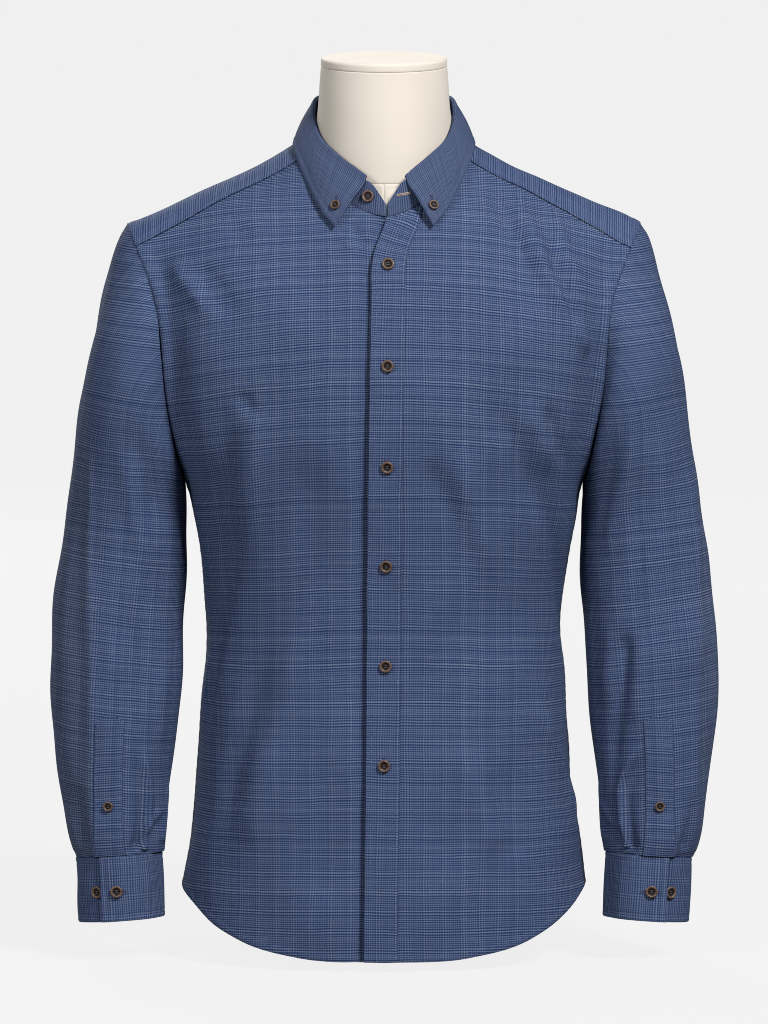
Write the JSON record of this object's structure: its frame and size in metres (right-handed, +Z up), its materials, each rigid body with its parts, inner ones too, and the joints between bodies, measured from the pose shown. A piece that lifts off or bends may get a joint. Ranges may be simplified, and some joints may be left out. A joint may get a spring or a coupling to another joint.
{
  "type": "dress shirt on a dress form",
  "caption": "Long-sleeved dress shirt with a button-down collar, shaped tails and buttoned cuffs, filled out by a limbless cloth-covered dress form that stands on its flat base.",
  "frame": {"origin": "centre of the dress form's flat base, on the surface that it stands on", "axes": "+Z up, the shirt's front faces -Y, and +X is the wearer's left"},
  "size_m": [0.5986, 0.2563, 0.8106],
  "materials": {
    "shirting": "woven micro-check cotton in navy, slate and pale blue, matt",
    "button": "brown horn-look resin, half gloss",
    "form_cover": "warm off-white plain cotton stretched over the form, matt"
  },
  "bodies": {
    "root": {"front_left": "shirting", "front_right": "shirting", "placket": "shirting", "back": "shirting", "yoke": "shirting", "sleeve_left": "shirting", "sleeve_right": "shirting", "gauntlet_left": "shirting", "gauntlet_right": "shirting", "cuff_left": "shirting", "cuff_right": "shirting", "collar_stand": "shirting", "collar_leaf": "shirting", "front_button_1": "button", "front_button_2": "button", "front_button_3": "button", "front_button_4": "button", "front_button_5": "button", "front_button_6": "button", "stand_button": "button", "collar_button_left": "button", "collar_button_right": "button", "gauntlet_button_left": "button", "gauntlet_button_right": "button", "cuff_button_upper_left": "button", "cuff_button_upper_right": "button", "cuff_button_under_left": "button", "cuff_button_under_right": "button", "form_torso": "form_cover", "form_neck_cap": "form_cover"}
  },
  "joints": []
}
